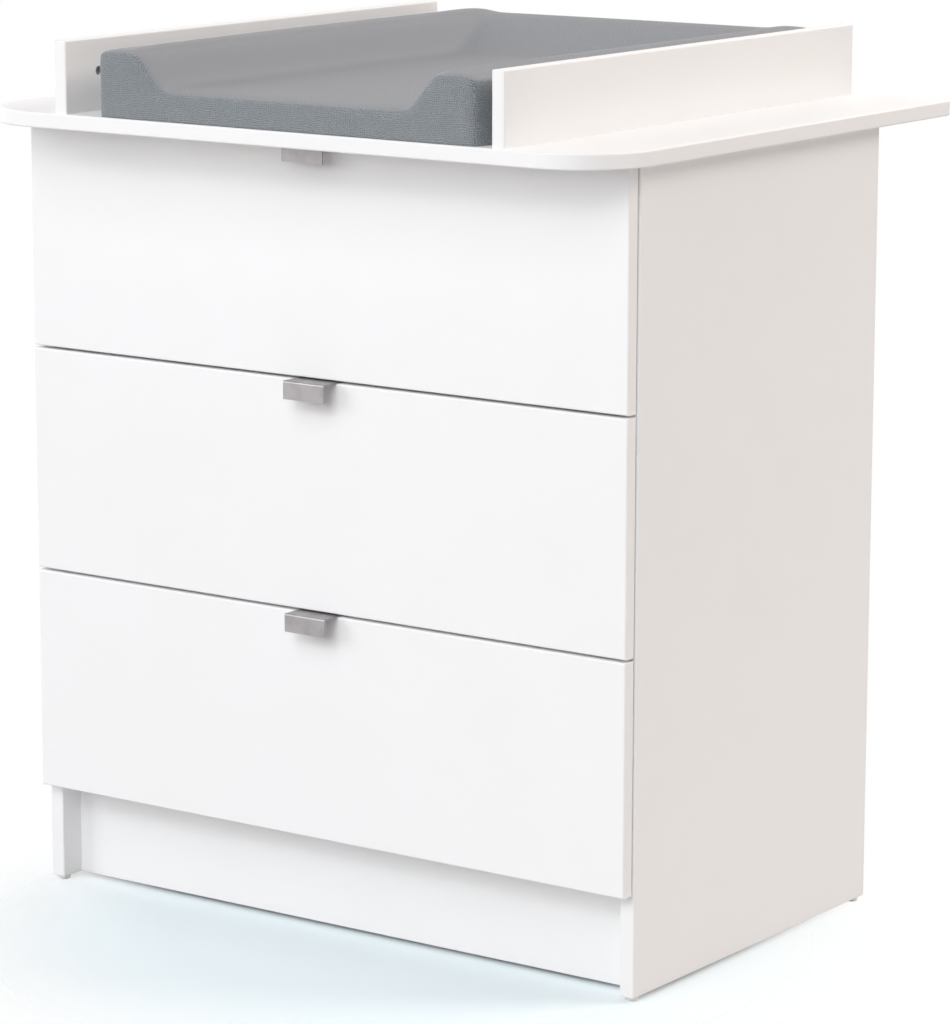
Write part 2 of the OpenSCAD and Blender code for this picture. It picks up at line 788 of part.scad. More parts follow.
module drawer_bottom(i) {
    w = box_in_x + drawer_groove;
    color(c_hardboard) difference() {
        translate([-w, front_back_y - drawer_groove, box_z(i) + groove_lift])
            cube([2 * w, box_len + drawer_groove, drawer_bottom_t]);
        at_bottom_screws(i) screw_form(back_screw_l, hole_clear);
    }
}

// Folded lip pull: a flange on the front's upper edge and a leg that hangs before it
module lip_pull(i) {
    reach = pull_reach + front_t;
    inner_r = pull_bend_r - pull_t;
    color(c_alu) difference() {
        translate([-pull_w / 2, face_y - pull_reach, front_z(i) + front_h + pull_t - pull_drop])
            rotate([90, 0, 90]) linear_extrude(pull_w) difference() {
                rounded_rect(reach, pull_drop, [0, 0, pull_bend_r, 0]);
                translate([pull_t, -cut]) rounded_rect(reach, pull_drop - pull_t + cut, [0, 0, inner_r, 0]);
            }
        at_pull_screws(i) screw_form(pull_screw_l, hole_clear);
    }
}

module drawer_screws(i) {
    color(c_steel) {
        at_pull_screws(i) wood_screw(pull_screw_l);
        at_bottom_screws(i) wood_screw(back_screw_l);
        both_sides() {
            at_back_screws(i) wood_screw(box_screw_l);
            at_drawer_runner_screws(i) wood_screw(runner_screw_l);
        }
    }
}

module drawer_cams(i) {
    color(c_zinc) both_sides() {
        at_drawer_cams(i) cam_housing(small_cam_d, small_cam_depth, -box_t / 2);
        at_drawer_bolts(i) cam_bolt(small_cam_reach);
    }
}

// ---------- Roller runners ----------

// Rivet that carries a roller: a shank of length l along +X and a head at its far end
module rivet(l) {
    rotate([0, 90, 0]) {
        cylinder(h = l + rivet_head_t, d = rivet_d);
        translate([0, 0, l]) cylinder(h = rivet_head_t, d = rivet_head_d);
    }
}

// Drawer member: an angle under the box's side whose upper lip runs on the cabinet roller
module drawer_runner(i, side) {
    y = front_back_y + runner_front_gap;
    l = box_back_y - y;
    color(c_runner) on_side(side) difference() {
        translate([box_x, 0, box_z(i)]) {
            translate([0, y, -runner_t]) cube([runner_t, l, drawer_flange_z + 2 * runner_t]);
            translate([-box_t, y, -runner_t]) cube([box_t + runner_t, l, runner_t]);
            translate([0, y, drawer_flange_z]) cube([drawer_flange_reach, l, runner_t]);
            translate([runner_t, drawer_roller_y, drawer_roller_z]) rivet(roller_w + 3 * rivet_play);
        }
        at_drawer_runner_screws(i) screw_form(runner_screw_l, hole_clear);
    }
}

// Cabinet member: a channel that opens towards the drawer, with its roller before it
module cabinet_runner(i, side) {
    x = inner_x - channel_reach;
    channel_l = runner_y + cabinet_runner_l - channel_y;
    color(c_runner) on_side(side) difference() {
        translate([0, 0, box_z(i) + track_z]) {
            translate([inner_x - runner_t, runner_y, -runner_t])
                cube([runner_t, cabinet_runner_l, channel_h + 2 * runner_t]);
            translate([x, runner_y, -runner_t]) cube([channel_reach, cabinet_runner_l, runner_t]);
            translate([x, channel_y, channel_h]) cube([channel_reach, channel_l, runner_t]);
            translate([inner_x - runner_t, cabinet_roller_y, cabinet_roller_z - track_z])
                mirror([1, 0, 0]) rivet(roller_w + 3 * rivet_play);
        }
        at_cabinet_screws(i) screw_form(runner_screw_l, hole_clear);
    }
}

// Nylon roller with a ring-shaped hollow on both faces, along +X from its inner face
module roller() {
    bore_r = rivet_d / 2 + bore_play;
    hub_r = rivet_head_d / 2 + roller_chamfer;
    rim_r = roller_d / 2 - roller_rim;
    r = roller_d / 2;
    c = roller_chamfer;
    w = roller_w;
    rotate([0, 90, 0]) rotate_extrude() polygon([
        [bore_r, 0], [hub_r, 0], [hub_r + c, roller_dish], [rim_r, roller_dish], [rim_r + c, 0],
        [r - c, 0], [r, c], [r, w - c], [r - c, w],
        [rim_r + c, w], [rim_r, w - roller_dish], [hub_r + c, w - roller_dish], [hub_r, w], [bore_r, w]
    ]);
}

module drawer_rollers(i) {
    color(c_nylon) both_sides()
        translate([box_x + runner_t + rivet_play, drawer_roller_y, box_z(i) + drawer_roller_z]) roller();
}

module cabinet_rollers(i) {
    color(c_nylon) both_sides()
        translate([inner_x - runner_t - rivet_play - roller_w, cabinet_roller_y, box_z(i) + cabinet_roller_z])
            roller();
}

// ---------- Nodes ----------

side_panel(-1);  // side_panel_left
side_panel(1);  // side_panel_right
bottom_panel();
top_rail(panel_y);  // top_rail_front
top_rail(rail_back_y);  // top_rail_back
back_panel();
plinth_board();
glides();
cam_fittings();
wood_dowels();
runner_screws();
changing_top();
top_screws();
guard(-1);  // guard_left
guard(1);  // guard_right
guard_bolts();
barrel_nuts();
changing_mat();
for (i = LEVELS) {
    level = str(LEVEL_NAMES[i], "_");
    drawer_front(i);
    drawer_side(i, -1);
    drawer_side(i, 1);
    drawer_back(i);
    drawer_bottom(i);
    lip_pull(i);
    drawer_screws(i);
    drawer_cams(i);
    drawer_runner(i, -1);
    drawer_runner(i, 1);
    drawer_rollers(i);
    cabinet_runner(i, -1);
    cabinet_runner(i, 1);
    cabinet_rollers(i);
}
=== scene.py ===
import json
import logging
import math
from dataclasses import dataclass, field
from enum import Enum
from typing import Any, Iterable, Optional, Union

import bmesh
import bpy
import numpy as np
from mathutils import Matrix, Vector


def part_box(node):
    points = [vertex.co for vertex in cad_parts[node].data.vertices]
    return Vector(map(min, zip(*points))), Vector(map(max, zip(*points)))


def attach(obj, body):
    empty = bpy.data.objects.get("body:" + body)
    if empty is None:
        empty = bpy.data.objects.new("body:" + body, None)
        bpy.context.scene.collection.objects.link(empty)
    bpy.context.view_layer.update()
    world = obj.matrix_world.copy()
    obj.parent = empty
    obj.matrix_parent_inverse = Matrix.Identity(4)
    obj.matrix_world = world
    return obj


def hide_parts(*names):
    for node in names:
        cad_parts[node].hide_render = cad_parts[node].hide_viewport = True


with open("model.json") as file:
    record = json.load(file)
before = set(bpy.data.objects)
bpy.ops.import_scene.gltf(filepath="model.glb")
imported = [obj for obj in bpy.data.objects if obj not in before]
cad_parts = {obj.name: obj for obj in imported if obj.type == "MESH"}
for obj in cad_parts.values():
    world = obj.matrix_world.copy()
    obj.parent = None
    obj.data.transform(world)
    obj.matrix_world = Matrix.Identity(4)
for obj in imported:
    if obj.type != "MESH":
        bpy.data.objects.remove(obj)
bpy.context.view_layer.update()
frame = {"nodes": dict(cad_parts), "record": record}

# A changing table in white melamine board: three drawers on roller runners, an overhanging top
# with two guard boards, and a padded mat whose woven cover is made here. Sizes are in metres, in
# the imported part's own frame.

LOG = logging.getLogger("changing_table")
LEVELS = ("lower", "middle", "upper")

Triple = tuple[float, float, float]
Colour = Triple
Value = Union["Socket", float, Triple]


# ---------- Shader building ----------


def colour(code: str) -> Colour:
    """Turns a colour code such as "#f4f4f5" into linear red, green and blue.

    Args:
        code: Six hexadecimal digits after a hash sign, as a colour is seen on a screen.

    Returns:
        The three linear channels.
    """
    seen = [int(code[i:i + 2], 16) / 255 for i in (1, 3, 5)]
    return tuple(c / 12.92 if c <= 0.04045 else ((c + 0.055) / 1.055) ** 2.4 for c in seen)


class Socket:
    """A node's output whose arithmetic adds Math nodes to its shader."""

    def __init__(self, shader: "Shader", output: Optional[bpy.types.NodeSocket]) -> None:
        """Keeps the shader and the output.

        Args:
            shader: The shader that the output belongs to.
            output: The node's output socket, or None for a node that ends a shader.
        """
        self.shader = shader
        self.output = output

    def _math(self, operation: str, *values: Value) -> "Socket":
        """Adds one Math node over the given values."""
        return self.shader.node("ShaderNodeMath", {"operation": operation}, dict(enumerate(values)))

    def __add__(self, other: Value) -> "Socket":
        """self + other."""
        return self._math("ADD", self, other)

    def __radd__(self, other: Value) -> "Socket":
        """other + self."""
        return self._math("ADD", other, self)

    def __sub__(self, other: Value) -> "Socket":
        """self - other."""
        return self._math("SUBTRACT", self, other)

    def __rsub__(self, other: Value) -> "Socket":
        """other - self."""
        return self._math("SUBTRACT", other, self)

    def __mul__(self, other: Value) -> "Socket":
        """self * other."""
        return self._math("MULTIPLY", self, other)

    def __rmul__(self, other: Value) -> "Socket":
        """other * self."""
        return self._math("MULTIPLY", other, self)

    def __truediv__(self, other: Value) -> "Socket":
        """self / other."""
        return self._math("DIVIDE", self, other)

    def __pow__(self, other: Value) -> "Socket":
        """self ** other."""
        return self._math("POWER", self, other)

    def __mod__(self, other: Value) -> "Socket":
        """self % other, never negative."""
        return self._math("FLOORED_MODULO", self, other)

    def __abs__(self) -> "Socket":
        """The absolute value."""
        return self._math("ABSOLUTE", self)

    def floor(self) -> "Socket":
        """The whole number below."""
        return self._math("FLOOR", self)

    def sine(self) -> "Socket":
        """The sine."""
        return self._math("SINE", self)

    def above(self, limit: float) -> "Socket":
        """1 where the value is greater than the limit, 0 elsewhere."""
        return self._math("GREATER_THAN", self, limit)

    def ramp(self, start: Value, end: Value) -> "Socket":
        """Rises smoothly from 0 at start to 1 at end.

        Args:
            start: The value at which the rise begins.
            end: The value at which it is complete.

        Returns:
            The risen value, from 0 to 1.
        """
        return self.shader.node(
            "ShaderNodeMapRange", {"interpolation_type": "SMOOTHSTEP"},
            {"Value": self, "From Min": start, "From Max": end, "To Min": 0.0, "To Max": 1.0})


class Shader:
    """One node-based material, or the world's shading, under construction."""

    def __init__(self, owner: Union[bpy.types.Material, bpy.types.World]) -> None:
        """Empties the owner's node tree.

        Args:
            owner: The material or world to be built.
        """
        owner.use_nodes = True
        self.owner = owner
        self.tree = owner.node_tree
        self.tree.nodes.clear()

    @classmethod
    def material(cls, name: str) -> "Shader":
        """Starts a new material of that name."""
        return cls(bpy.data.materials.new(name))

    def node(self, kind: str, settings: Optional[dict[str, Any]] = None,
             inputs: Optional[dict[Union[str, int], Value]] = None,
             output: Union[str, int] = 0) -> Socket:
        """Adds a node.

        Args:
            kind: The node's type, such as "ShaderNodeTexNoise".
            settings: The node's own settings, set before its sockets.
            inputs: Values or links by socket name or number.
            output: The output that is handed back.

        Returns:
            That output, wrapped.
        """
        made = self.tree.nodes.new(kind)
        for key, value in (settings or {}).items():
            setattr(made, key, value)
        for key, value in (inputs or {}).items():
            self._feed(made.inputs[key], value)
        return Socket(self, made.outputs[output] if made.outputs else None)

    def _feed(self, target: bpy.types.NodeSocket, value: Value) -> None:
        """Links a wrapped socket to the target, or sets the target's own value.

        Args:
            target: A node's input socket.
            value: The socket, number, vector or colour for it.
        """
        if isinstance(value, Socket):
            self.tree.links.new(value.output, target)
            return
        if target.type == "RGBA" and len(value) == 3:
            value = (*value, 1.0)
        target.default_value = value

    def place(self, output: str = "Object") -> Socket:
        """The point on the surface in its own frame, or another texture coordinate."""
        return self.node("ShaderNodeTexCoord", output=output)

    def axes(self, vector: Socket) -> tuple[Socket, Socket, Socket]:
        """Splits a vector.

        Args:
            vector: The vector to be split.

        Returns:
            Its X, Y and Z.
        """
        split = self.tree.nodes.new("ShaderNodeSeparateXYZ")
        self._feed(split.inputs[0], vector)
        return tuple(Socket(self, out) for out in split.outputs)

    def noise(self, scale: float, detail: float = 2.0, roughness: float = 0.5,
              stretch: Triple = (1.0, 1.0, 1.0)) -> Socket:
        """Noise over the object's own frame.

        Args:
            scale: Features to the metre.
            detail: Octaves of finer noise.
            roughness: Share of each finer octave.
            stretch: How much denser the noise lies along each axis.

        Returns:
            Values about 0.5.
        """
        where = self.node("ShaderNodeMapping", inputs={"Vector": self.place(), "Scale": stretch})
        return self.node("ShaderNodeTexNoise", inputs={
            "Vector": where, "Scale": scale, "Detail": detail, "Roughness": roughness})

    def mix(self, share: Value, first: Value, second: Value) -> Socket:
        """Mixes two colours.

        Args:
            share: How much of the second colour shows, from 0 to 1.
            first: The colour at 0.
            second: The colour at 1.

        Returns:
            The mixed colour.
        """
        return self.node("ShaderNodeMix", {"data_type": "RGBA"},
                         {0: share, 6: first, 7: second}, output=2)

    def bump(self, height: Value, depth: float) -> Socket:
        """Turns a height between 0 and 1 into a normal.

        Args:
            height: The height over the surface.
            depth: The real height in metres at 1.

        Returns:
            The bent normal.
        """
        return self.node("ShaderNodeBump", inputs={
            "Height": height, "Distance": depth, "Strength": 1.0})

    def seen_directly(self) -> Socket:
        """Tells what the eye sees from what only bounced light meets.

        Returns:
            1 straight on, in a reflection or through glass, 0 for bounced light.
        """
        rays = [self.node("ShaderNodeLightPath", output=f"Is {kind} Ray")
                for kind in ("Camera", "Glossy", "Transmission")]
        return rays[0] + rays[1] + rays[2]

    def principled(self, **inputs: Value) -> Socket:
        """A Principled BSDF; an input's name has underscores for its spaces."""
        named = {key.replace("_", " "): value for key, value in inputs.items()}
        return self.node("ShaderNodeBsdfPrincipled", inputs=named)

    def surface(self, shading: Socket) -> Union[bpy.types.Material, bpy.types.World]:
        """Ends the shader in its output node.

        Args:
            shading: What the surface shows.

        Returns:
            The finished material or world.
        """
        ends_in = "World" if isinstance(self.owner, bpy.types.World) else "Material"
        self.node(f"ShaderNodeOutput{ends_in}", inputs={"Surface": shading})
        return self.owner


# ---------- Finishes ----------


class Slot(Enum):
    """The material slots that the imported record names."""

    WHITE_BOARD = "white_board"
    HARDBOARD = "hardboard"
    MAT_FABRIC = "mat_fabric"
    ALUMINIUM = "aluminium"
    STEEL = "steel"
    ZINC = "zinc"
    RUNNER_STEEL = "runner_steel"
    WHITE_NYLON = "white_nylon"
    BEECH = "beech"


@dataclass(frozen=True)
class Melamine:
    """White melamine-faced board: satin, with a pearled press texture."""

    tint: Colour = colour("#f8f8f9")
    shade: Colour = colour("#f7f7f7")
    smoothest: float = 0.34
    roughest: float = 0.44
    shine: float = 0.25
    cloud_scale: float = 7.0
    pearl_scale: float = 900.0
    pearl_depth: float = 0.00004

    def material(self) -> bpy.types.Material:
        """Builds the material.

        Returns:
            The finished material.
        """
        made = Shader.material("white_melamine")
        cloud = made.noise(self.cloud_scale, detail=3.0)
        pearl = made.noise(self.pearl_scale, detail=2.0, roughness=0.6)
        return made.surface(made.principled(
            Base_Color=made.mix(cloud.ramp(0.35, 0.7), self.tint, self.shade),
            Roughness=self.smoothest + (self.roughest - self.smoothest) * pearl,
            Specular_IOR_Level=self.shine,
            Normal=made.bump(pearl, self.pearl_depth)))


@dataclass(frozen=True)
class Hardboard:
    """White lacquered hardboard: matt, with felted fibres under the lacquer."""

    tint: Colour = colour("#eeede9")
    shade: Colour = colour("#e4e2dd")
    smoothest: float = 0.5
    spread: float = 0.2
    fibre_scale: float = 420.0
    fibre_depth: float = 0.00008

    def material(self) -> bpy.types.Material:
        """Builds the material.

        Returns:
            The finished material.
        """
        made = Shader.material("lacquered_hardboard")
        fibres = made.noise(self.fibre_scale, detail=5.0, roughness=0.7, stretch=(1.0, 0.4, 1.0))
        return made.surface(made.principled(
            Base_Color=made.mix(fibres.ramp(0.4, 0.75), self.tint, self.shade),
            Roughness=self.smoothest + self.spread * fibres,
            Normal=made.bump(fibres, self.fibre_depth)))


@dataclass(frozen=True)
class Metal:
    """A metal with fine drawn lines or a cast skin.

    The lines are denser across the direction in which the metal was drawn or brushed.
    """

    name: str
    tint: Colour
    shade: Colour
    roughness: float
    spread: float
    line_scale: float
    line_depth: float
    line_stretch: Triple = (1.0, 1.0, 1.0)
    stain_scale: float = 60.0

    def material(self) -> bpy.types.Material:
        """Builds the material.

        Returns:
            The finished material.
        """
        made = Shader.material(self.name)
        lines = made.noise(self.line_scale, detail=3.0, roughness=0.65, stretch=self.line_stretch)
        stain = made.noise(self.stain_scale, detail=2.0)
        return made.surface(made.principled(
            Base_Color=made.mix(stain.ramp(0.35, 0.7), self.tint, self.shade),
            Metallic=1.0,
            Roughness=self.roughness + self.spread * (lines - 0.5),
            Normal=made.bump(lines, self.line_depth)))


@dataclass(frozen=True)
class Enamel:
    """White powder enamel on sheet steel, with its slight orange peel."""

    tint: Colour = colour("#efefec")
    shade: Colour = colour("#e6e6e2")
    smoothest: float = 0.3
    spread: float = 0.1
    smudge_scale: float = 35.0
    peel_scale: float = 520.0
    peel_depth: float = 0.00006

    def material(self) -> bpy.types.Material:
        """Builds the material.

        Returns:
            The finished material.
        """
        made = Shader.material("runner_enamel")
        peel = made.noise(self.peel_scale, detail=1.0)
        smudge = made.noise(self.smudge_scale, detail=3.0)
        return made.surface(made.principled(
            Base_Color=made.mix(smudge.ramp(0.4, 0.75), self.tint, self.shade),
            Roughness=self.smoothest + self.spread * smudge,
            Normal=made.bump(peel, self.peel_depth)))


@dataclass(frozen=True)
class Nylon:
    """Moulded white nylon: slightly waxy, with fine scuffs."""

    tint: Colour = colour("#f1f1ec")
    shade: Colour = colour("#dddcd5")
    smoothest: float = 0.38
    spread: float = 0.15
    scuff_scale: float = 300.0
    scuff_depth: float = 0.00005

    def material(self) -> bpy.types.Material:
        """Builds the material.

        Returns:
            The finished material.
        """
        made = Shader.material("moulded_nylon")
        scuff = made.noise(self.scuff_scale, detail=4.0, roughness=0.7)
        return made.surface(made.principled(
            Base_Color=made.mix(scuff.ramp(0.45, 0.85), self.tint, self.shade),
            Roughness=self.smoothest + self.spread * scuff,
            Normal=made.bump(scuff, self.scuff_depth)))


@dataclass(frozen=True)
class Beech:
    """Plain beech with its short flecks along the dowel."""

    tint: Colour = colour("#d8b98c")
    fleck: Colour = colour("#b88f5f")
    smoothest: float = 0.55
    spread: float = 0.1
    grain_scale: float = 900.0
    grain_depth: float = 0.0001

    def material(self) -> bpy.types.Material:
        """Builds the material.

        Returns:
            The finished material.
        """
        made = Shader.material("beech")
        grain = made.noise(self.grain_scale, detail=4.0, roughness=0.6, stretch=(0.08, 1.0, 1.0))
        return made.surface(made.principled(
            Base_Color=made.mix(grain.ramp(0.5, 0.75), self.tint, self.fleck),
            Roughness=self.smoothest + self.spread * grain,
            Normal=made.bump(grain, self.grain_depth)))


@dataclass(frozen=True)
class WovenCover:
    """The mat's cover: a close smooth cloth on top and a plain linen weave round the sides. Its colours
    hold painted light and shade: the sides are painted darker and bluer than the top, and the top's
    slopes lighter than its flats.
    """

    # Painted light and shade on the top: the flats' tint is painted darker and the slopes' tint
    # lighter, so that their shading looks even.
    flat_tint_with_painted_shade: Colour = colour("#7e8186")
    slope_tint_with_painted_light: Colour = colour("#9a9ca2")
    # The sides' two tints are the weave's light and dark threads. Both are painted darker and bluer
    # than the top as painted shade.
    side_tint_with_painted_shade: Colour = colour("#9da3a8")
    side_dark_with_painted_shade: Colour = colour("#6c7278")
    # How quickly a tilt takes the slope's painted light, then the cloth's roughness, its spread, its
    # shine.
    painted_light_slope_share: float = 1.6
    smoothest: float = 0.82
    spread: float = 0.12
    shine: float = 0.25
    # The weave: the threads' spacing, how far and how closely they wander, how close and high the
    # slubs are, how much flatter the top is woven, and the depth of it all.
    thread: float = 0.0021
    waver: float = 4.5
    waver_scale: float = 55.0
    slub_scale: float = 260.0
    slub_height: float = 0.4
    top_flatness: float = 0.75
    weave_depth: float = 0.0006

    def _cloth(self, made: Shader, across: Socket, along: Socket) -> Socket:
        """The height of a plain weave in one plane.

        Args:
            made: The shader under construction.
            across: Distance across the warp, in metres.
            along: Distance along the warp, in metres.

        Returns:
            The threads' height, from 0 to 1.
        """
        wander = made.noise(self.waver_scale, detail=2.0) * self.waver
        warp = across / self.thread + wander
        weft = along / self.thread + wander
        over = ((warp.floor() + weft.floor()) % 2.0).above(0.5)
        warp_height = abs((warp * math.pi).sine())
        weft_height = abs((weft * math.pi).sine())
        return over * warp_height + (1.0 - over) * weft_height

    def material(self) -> bpy.types.Material:
        """Builds the material.

        Returns:
            The finished material.
        """
        made = Shader.material("woven_cover")
        x, y, z = made.axes(made.place())
        normal_x, normal_y, normal_z = made.axes(made.place("Normal"))
        faces_side = abs(normal_x).ramp(0.6, 0.75)
        faces_up = abs(normal_z).ramp(0.25, 0.6) * (1.0 - abs(normal_y).ramp(0.15, 0.75))
        side_weave = self._cloth(made, x, z) * (1.0 - faces_side) + self._cloth(made, y, z) * faces_side
        top_weave = self._cloth(made, x, y)
        weave = side_weave * (1.0 - faces_up) + top_weave * faces_up
        slub = made.noise(self.slub_scale, detail=4.0, roughness=0.75, stretch=(1.0, 1.0, 2.4))
        # Painted light: the more a part of the top is tilted, the lighter its tint, to even out the
        # slopes' shading.
        tilt = abs(normal_x) + abs(normal_y)
        top = made.mix(tilt * self.painted_light_slope_share, self.flat_tint_with_painted_shade, self.slope_tint_with_painted_light)
        # The woven mottle is the cloth's own. The sides' darker, bluer tone is painted shade.
        mottle = 0.45 * weave + 0.55 * slub
        side = made.mix(mottle.ramp(0.25, 0.75), self.side_dark_with_painted_shade, self.side_tint_with_painted_shade)
        height = weave * (1.0 - self.top_flatness * faces_up) + self.slub_height * slub
        return made.surface(made.principled(
            Base_Color=made.mix(faces_up, side, top),
            Roughness=self.smoothest + self.spread * weave,
            Specular_IOR_Level=self.shine,
            Sheen_Weight=0.25,
            Sheen_Roughness=0.5,
            Normal=made.bump(height, self.weave_depth)))


def make_finishes() -> dict[Slot, bpy.types.Material]:
    """Builds every finish of the object.

    Returns:
        The material for each slot of the record.
    """
    return {
        Slot.WHITE_BOARD: Melamine().material(),
        Slot.HARDBOARD: Hardboard().material(),
        Slot.MAT_FABRIC: WovenCover().material(),
        Slot.ALUMINIUM: Metal(
            "satin_aluminium", colour("#a5a1a2"), colour("#9a9698"), roughness=0.42, spread=0.2,
            line_scale=2600.0, line_depth=0.00002, line_stretch=(0.05, 1.0, 1.0)).material(),
        Slot.STEEL: Metal(
            "zinc_plated_steel", colour("#c3c6c9"), colour("#aeb1b6"), roughness=0.34, spread=0.25,
            line_scale=1500.0, line_depth=0.00002).material(),
        Slot.ZINC: Metal(
            "cast_zinc", colour("#9fa1a5"), colour("#87898e"), roughness=0.5, spread=0.2,
            line_scale=800.0, line_depth=0.00006).material(),
        Slot.RUNNER_STEEL: Enamel().material(),
        Slot.WHITE_NYLON: Nylon().material(),
        Slot.BEECH: Beech().material(),
    }


# ---------- The object ----------


@dataclass
class FramePieces:
    """The rigid pieces, which keep the frame's own solids and take their slots' finishes."""

    title: str
    nodes: list[str]

    def dress(self, finishes: dict[Slot, bpy.types.Material]) -> None:
        """Gives each piece the finish of its slot in the record.

        Args:
            finishes: The material for each slot.
        """
        slots = {row["node"]: Slot(row["material_slot"]) for row in frame["record"]["subparts"]}
        for name in self.nodes:
            mesh = frame["nodes"][name].data
            mesh.materials.clear()
            mesh.materials.append(finishes[slots[name]])
            LOG.info("%s: %s in %s", self.title, name, slots[name].value)


@dataclass
class ChangingMat:
    """The contoured changing mat: foam between raised sides and a raised back end, in a cover.

    The cover starts from a form that is a little smaller than its space, is blown up against
    its threads by a cloth simulation, and lies flat on the top.
    """

    # The foam: the raised sides' flat and slope, the thickness in the hollow, the raised back
    # end's thickness, flat and slope, and the radius of the upright corners.
    bolster: float = 0.049
    slope: float = 0.042
    base: float = 0.031
    head: float = 0.072
    head_flat: float = 0.036
    head_slope: float = 0.120
    corner: float = 0.004
    columns: int = 64
    rows: int = 72
    # The cover: how far it reaches below the top before it is laid down, the room it has to
    # swell into, and the spacing and easing of its net.
    sole: float = 0.010
    swell: float = 0.001
    voxel: float = 0.0045
    easing_steps: int = 20
    settling_steps: int = 2
    # The cloth simulation, and how far it may move a point in the end.
    pressure: float = 4.0
    quality: int = 4
    mass: float = 0.25
    stretch_stiffness: float = 12.0
    shear_stiffness: float = 6.0
    bending_stiffness: float = 1.5
    frames: int = 20
    evening_steps: int = 20
    most_swell: float = 0.0015
    low: Vector = field(default_factory=lambda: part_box("changing_mat")[0])
    high: Vector = field(default_factory=lambda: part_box("changing_mat")[1])

    def _height(self, x: float, y: float) -> float:
        """The foam's height over the top at a point.

        Args:
            x: Distance from the mat's middle, to the right.
            y: Distance from the mat's front end.

        Returns:
            The height in metres.
        """
        full = self.high.z - self.low.z - self.swell
        half = (self.high.x - self.low.x) / 2
        from_side = half - abs(x)
        rise = 1 - min(max((from_side - self.bolster) / self.slope, 0.0), 1.0)
        across = self.base + (full - self.base) * self._soft(rise)
        from_back = (self.high.y - self.low.y) - y
        climb = 1 - min(max((from_back - self.head_flat) / self.head_slope, 0.0), 1.0)
        along = self.base + (self.head - self.swell - self.base) * self._soft(climb)
        return max(across, along)

    @staticmethod
    def _soft(share: float) -> float:
        """Eases a straight slope at both its ends, as foam and cloth do."""
        eased = share * share * (3 - 2 * share)
        return 0.5 * share + 0.5 * eased

    def _half_width(self, y: float) -> float:
        """Half the foam's width at a distance from its front end, less at the rounded corners.

        Args:
            y: The distance from the foam's front end.

        Returns:
            Half the width in metres.
        """
        half = (self.high.x - self.low.x) / 2 - self.swell
        length = self.high.y - self.low.y - 2 * self.swell
        into = min(y, length - y, self.corner)
        return half - self.corner + math.sqrt(max(self.corner ** 2 - (self.corner - into) ** 2, 0.0))

    def _foam(self) -> bpy.types.Mesh:
        """Builds the closed foam block: a shaped upper face, a flat lower one and its walls.

        The block reaches below the top by the sole, which is pressed flat when it is laid down.

        Returns:
            The mesh, in the part's frame.
        """
        middle = (self.low.x + self.high.x) / 2
        length = self.high.y - self.low.y - 2 * self.swell
        made = bmesh.new()
        upper, lower = [], []
        for row in range(self.rows + 1):
            y = length * (0.5 - 0.5 * math.cos(math.pi * row / self.rows))
            half = self._half_width(y)
            top_row, low_row = [], []
            for column in range(self.columns + 1):
                x = half * (2 * column / self.columns - 1)
                place = (middle + x, self.low.y + self.swell + y)
                height = self._height(x, y + self.swell)
                top_row.append(made.verts.new((*place, self.low.z + height)))
                low_row.append(made.verts.new((*place, self.low.z - self.sole)))
            upper.append(top_row)
            lower.append(low_row)
        for r in range(self.rows):
            for c in range(self.columns):
                made.faces.new((upper[r][c], upper[r][c + 1], upper[r + 1][c + 1], upper[r + 1][c]))
                made.faces.new((lower[r][c], lower[r + 1][c], lower[r + 1][c + 1], lower[r][c + 1]))
        rim = [(0, c) for c in range(self.columns)]
        rim += [(r, self.columns) for r in range(self.rows)]
        rim += [(self.rows, c) for c in range(self.columns, 0, -1)]
        rim += [(r, 0) for r in range(self.rows, 0, -1)]
        for (r, c), (r2, c2) in zip(rim, rim[1:] + rim[:1]):
            made.faces.new((lower[r][c], lower[r2][c2], upper[r2][c2], upper[r][c]))
        mesh = bpy.data.meshes.new("mat_cover")
        made.to_mesh(mesh)
        made.free()
        return mesh

    def _remesh(self, cover: bpy.types.Object) -> None:
        """Gives the cover an even net of threads and eases its edges.

        Args:
            cover: The cover, still with the foam's sharp form.
        """
        remesh = cover.modifiers.new("even_net", "REMESH")
        remesh.mode = "VOXEL"
        remesh.voxel_size = self.voxel
        self._ease(cover, self.easing_steps)

    @classmethod
    def _ease(cls, cover: bpy.types.Object, steps: int) -> None:
        """Smooths the cover.

        Args:
            cover: The cover.
            steps: How often each point moves towards its neighbours.
        """
        easing = cover.modifiers.new("eased", "SMOOTH")
        easing.factor = 0.5
        easing.iterations = steps
        cls._apply_modifiers(cover)

    @staticmethod
    def _apply_modifiers(piece: bpy.types.Object) -> None:
        """Replaces a piece's mesh by what its modifiers make of it.

        Args:
            piece: The piece with its modifiers.
        """
        depsgraph = bpy.context.evaluated_depsgraph_get()
        shaped = bpy.data.meshes.new_from_object(piece.evaluated_get(depsgraph))
        piece.modifiers.clear()
        old = piece.data
        piece.data = shaped
        bpy.data.meshes.remove(old)

    @staticmethod
    def _places(mesh: bpy.types.Mesh) -> np.ndarray:
        """Reads where a mesh's points are.

        Args:
            mesh: The mesh.

        Returns:
            A row of three coordinates for each point.
        """
        flat = np.empty(len(mesh.vertices) * 3)
        mesh.vertices.foreach_get("co", flat)
        return flat.reshape(-1, 3)

    def _even_out(self, mesh: bpy.types.Mesh, moved: np.ndarray) -> np.ndarray:
        """Shares each point's movement with its neighbours, so that no crease is left.

        Args:
            mesh: The mesh whose threads join the points.
            moved: How far each point moved.

        Returns:
            The evened movements.
        """
        threads = np.empty(len(mesh.edges) * 2, dtype=int)
        mesh.edges.foreach_get("vertices", threads)
        first, second = threads.reshape(-1, 2).T
        joined = np.bincount(threads, minlength=len(moved))[:, None]
        for _ in range(self.evening_steps):
            total = np.zeros_like(moved)
            np.add.at(total, first, moved[second])
            np.add.at(total, second, moved[first])
            moved = total / joined
        return moved

